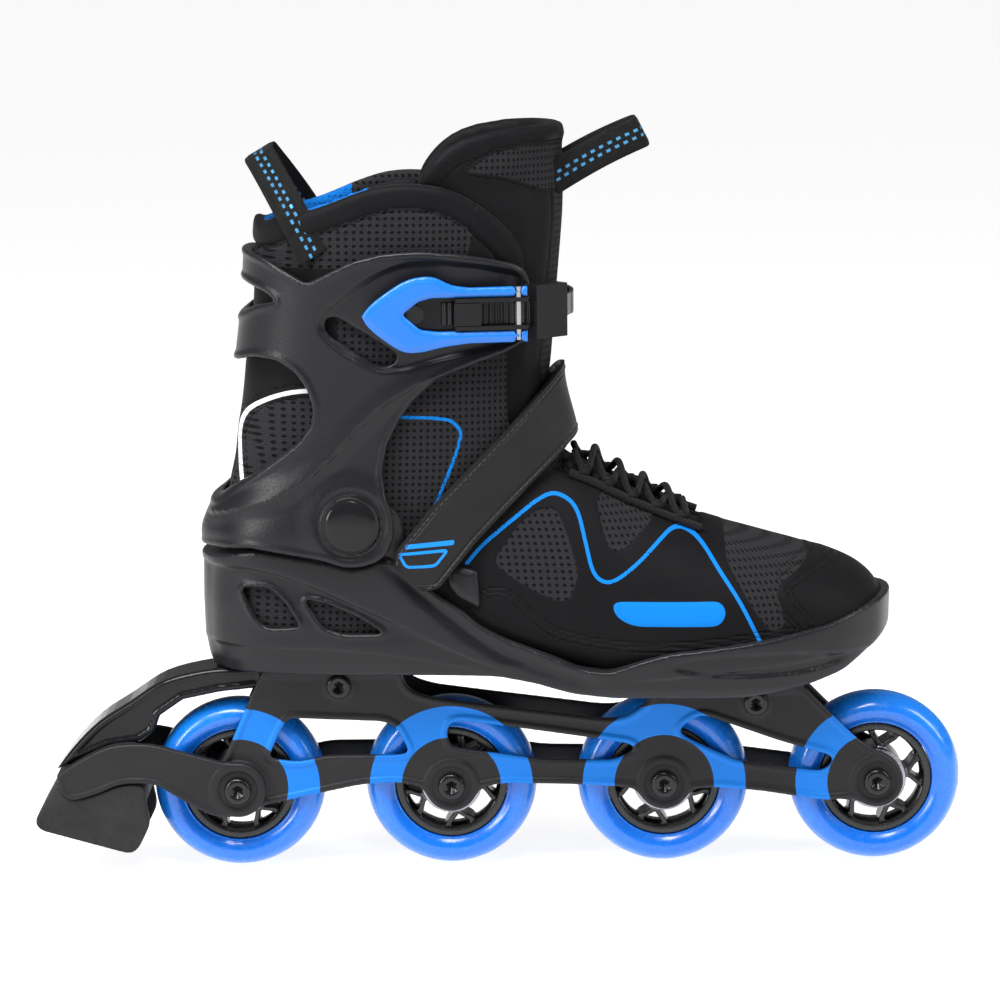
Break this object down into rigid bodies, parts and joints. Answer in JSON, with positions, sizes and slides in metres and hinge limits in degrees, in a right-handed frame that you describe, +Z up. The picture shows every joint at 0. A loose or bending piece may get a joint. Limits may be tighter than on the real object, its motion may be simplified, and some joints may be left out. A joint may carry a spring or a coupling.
{
  "type": "inline skates",
  "caption": "Soft-boot inline skate: padded boot in a moulded shell, hinged cuff with ratchet buckle, one-piece frame with wheels in a row and a rear brake.",
  "frame": {"origin": "on the floor under the middle of the skate, in the plane of the wheels", "axes": "+X towards the toe, +Y towards the inner side of the right foot, +Z up"},
  "size_m": [0.432, 0.1176, 0.3492],
  "materials": {
    "shell_plastic": "satin moulded plastic, charcoal",
    "gloss_black": "glossy black plastic",
    "lever_blue": "satin blue plastic",
    "tyre_blue": "cast urethane, blue, slightly translucent",
    "hub_plastic": "black plastic",
    "steel": "plain steel",
    "black_steel": "blackened steel",
    "frame_metal": "matte black coating",
    "fabric_black": "black mesh and coated film",
    "lining_blue": "blue lining, black outside",
    "strap_synthetic": "stitched synthetic leather, charcoal",
    "webbing_black": "ribbed black webbing",
    "brake_rubber": "black rubber"
  },
  "bodies": {
    "boot": {"spacer_1": "steel", "axle_1": "black_steel", "spacer_2": "steel", "axle_2": "black_steel", "spacer_3": "steel", "axle_3": "black_steel", "spacer_4": "steel", "axle_4": "black_steel", "chassis": "frame_metal", "brake_arch": "shell_plastic", "brake_yoke": "frame_metal", "brake_pad": "brake_rubber", "brake_pad_screw": "steel", "base_shell": "shell_plastic", "cuff_pivot_lateral": "gloss_black", "cuff_pivot_medial": "gloss_black", "upper_foot": "fabric_black", "tongue_lower": "fabric_black", "footbed": "fabric_black", "instep_strap": "strap_synthetic", "strap_ring": "black_steel", "ring_tab": "webbing_black", "strap_rivet_lateral": "black_steel", "strap_rivet_medial": "black_steel", "laces": "webbing_black", "eyestay_lateral": "webbing_black", "eyestay_medial": "webbing_black", "frame_screw_rear_lateral": "black_steel", "frame_screw_rear_medial": "black_steel", "frame_screw_front_lateral": "black_steel", "frame_screw_front_medial": "black_steel"},
    "wheel_1": {"tyre_1": "tyre_blue", "hub_1": "hub_plastic", "bearing_1_lateral": "steel", "bearing_1_medial": "steel"},
    "wheel_2": {"tyre_2": "tyre_blue", "hub_2": "hub_plastic", "bearing_2_lateral": "steel", "bearing_2_medial": "steel"},
    "wheel_3": {"tyre_3": "tyre_blue", "hub_3": "hub_plastic", "bearing_3_lateral": "steel", "bearing_3_medial": "steel"},
    "wheel_4": {"tyre_4": "tyre_blue", "hub_4": "hub_plastic", "bearing_4_lateral": "steel", "bearing_4_medial": "steel"},
    "cuff": {"cuff": "shell_plastic", "upper_collar": "fabric_black", "liner": "lining_blue", "tongue_upper": "fabric_black", "buckle_base": "gloss_black", "buckle_screw": "black_steel", "lever_pin": "steel", "ladder_strap": "gloss_black", "ladder_screw": "black_steel", "heel_pull_loop": "webbing_black", "tongue_pull_loop": "webbing_black"},
    "lever": {"buckle_lever": "lever_blue"},
    "pawl": {"buckle_pawl": "gloss_black"}
  },
  "joints": [
    {"name": "wheel_1_spin", "type": "hinge", "parent": "boot", "child": "wheel_1", "pos_m": [-0.1215, 0, 0.04], "axis": [0, 1, 0], "continuous": true},
    {"name": "wheel_2_spin", "type": "hinge", "parent": "boot", "child": "wheel_2", "pos_m": [-0.0225, 0, 0.04], "axis": [0, 1, 0], "continuous": true},
    {"name": "wheel_3_spin", "type": "hinge", "parent": "boot", "child": "wheel_3", "pos_m": [0.0765, 0, 0.04], "axis": [0, 1, 0], "continuous": true},
    {"name": "wheel_4_spin", "type": "hinge", "parent": "boot", "child": "wheel_4", "pos_m": [0.1755, 0, 0.04], "axis": [0, 1, 0], "continuous": true},
    {"name": "cuff_flex", "type": "hinge", "parent": "boot", "child": "cuff", "pos_m": [-0.066, 0, 0.169], "axis": [0, 1, 0], "range_deg": [0, 8], "stiffness_Nm_per_rad": 6, "springref_deg": -6.88},
    {"name": "lever_open", "type": "hinge", "parent": "cuff", "child": "lever", "pos_m": [0.01058, -0.04939, 0.265], "axis": [0, 0, 1], "range_deg": [0, 100]},
    {"name": "pawl_release", "type": "hinge", "parent": "cuff", "child": "pawl", "pos_m": [-0.01523, -0.05256, 0.265], "axis": [0, 0, -1], "range_deg": [0, 12], "stiffness_Nm_per_rad": 0.02, "springref_deg": -11.46}
  ]
}
